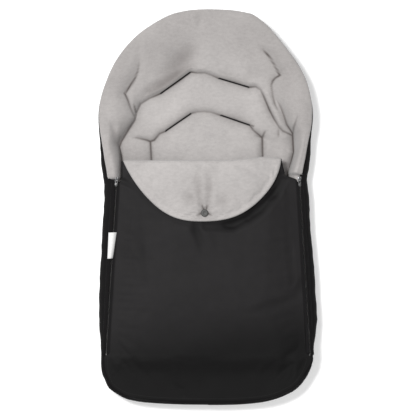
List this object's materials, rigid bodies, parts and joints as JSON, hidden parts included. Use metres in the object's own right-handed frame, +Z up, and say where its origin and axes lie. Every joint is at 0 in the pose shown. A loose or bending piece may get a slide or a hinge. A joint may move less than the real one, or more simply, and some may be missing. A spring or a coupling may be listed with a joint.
{
  "type": "car seat footmuff",
  "caption": "Padded fleece-lined bag with a hood for a baby car seat: zip-off apron with a snap-down flap, harness slots and a rounded foot.",
  "frame": {"origin": "under the middle of the part's box, on the surface that the back panel lies on", "axes": "+X to the right as the picture shows it, +Y towards the hood, +Z up through the apron"},
  "size_m": [0.4394, 0.8, 0.0914],
  "materials": {
    "fleece": "matte",
    "black_shell": "matte",
    "wadding": "matte",
    "zip_tape": "matte",
    "zip_coil": "satin",
    "zip_metal": "satin",
    "snap_plastic": "satin",
    "label": "matte"
  },
  "bodies": {
    "base": {"back_outer": "black_shell", "back_wadding": "wadding", "back_lining": "fleece", "hood_outer": "black_shell", "hood_wadding": "wadding", "hood_lining": "fleece", "side_left_outer": "black_shell", "side_left_wadding": "wadding", "side_left_lining": "fleece", "side_right_outer": "black_shell", "side_right_wadding": "wadding", "side_right_lining": "fleece", "foot_wall_outer": "black_shell", "foot_wall_wadding": "wadding", "foot_wall_lining": "fleece", "foot_cover_outer": "black_shell", "foot_cover_wadding": "wadding", "foot_cover_lining": "fleece", "harness_slot_upper_left_binding": "black_shell", "harness_slot_upper_right_binding": "black_shell", "harness_slot_lower_left_binding": "black_shell", "harness_slot_lower_right_binding": "black_shell", "crotch_slot_binding": "black_shell", "zip_tape_left": "zip_tape", "zip_tape_right": "zip_tape", "zip_coil_left": "zip_coil", "zip_coil_right": "zip_coil", "zip_stop_left": "zip_metal", "zip_stop_right": "zip_metal"},
    "apron": {"apron_outer": "black_shell", "apron_wadding": "wadding", "apron_lining": "fleece", "apron_zip_tape_left": "zip_tape", "apron_zip_tape_right": "zip_tape", "apron_zip_coil_left": "zip_coil", "apron_zip_coil_right": "zip_coil", "snap_stud": "snap_plastic", "side_label": "label"},
    "flap": {"flap_outer": "black_shell", "flap_wadding": "wadding", "flap_lining": "fleece", "snap_cap": "snap_plastic", "snap_socket": "snap_plastic"},
    "slider_left": {"zip_slider_left": "zip_metal"},
    "pull_left": {"zip_pull_left": "zip_metal"},
    "slider_right": {"zip_slider_right": "zip_metal"},
    "pull_right": {"zip_pull_right": "zip_metal"}
  },
  "joints": [
    {"name": "apron_fold", "type": "hinge", "parent": "base", "child": "apron", "pos_m": [0, -0.3, 0.06674], "axis": [1, 0, 0], "range_deg": [0, 160]},
    {"name": "flap_fold", "type": "hinge", "parent": "apron", "child": "flap", "pos_m": [0, 0.096, 0.0697], "axis": [-1, 0, 0], "range_deg": [0, 170]},
    {"name": "zip_left_travel", "type": "slide", "parent": "base", "child": "slider_left", "axis": [-0.0608, -0.9981, 0], "range_m": [0, 0.349]},
    {"name": "pull_left_swing", "type": "hinge", "parent": "slider_left", "child": "pull_left", "pos_m": [-0.18422, 0.0584, 0.06315], "axis": [-0.9981, 0.0608, 0], "range_deg": [0, 130]},
    {"name": "zip_right_travel", "type": "slide", "parent": "base", "child": "slider_right", "axis": [0.0608, -0.9981, 0], "range_m": [0, 0.349]},
    {"name": "pull_right_swing", "type": "hinge", "parent": "slider_right", "child": "pull_right", "pos_m": [0.18422, 0.0584, 0.06315], "axis": [-0.9981, -0.0608, 0], "range_deg": [0, 130]}
  ]
}
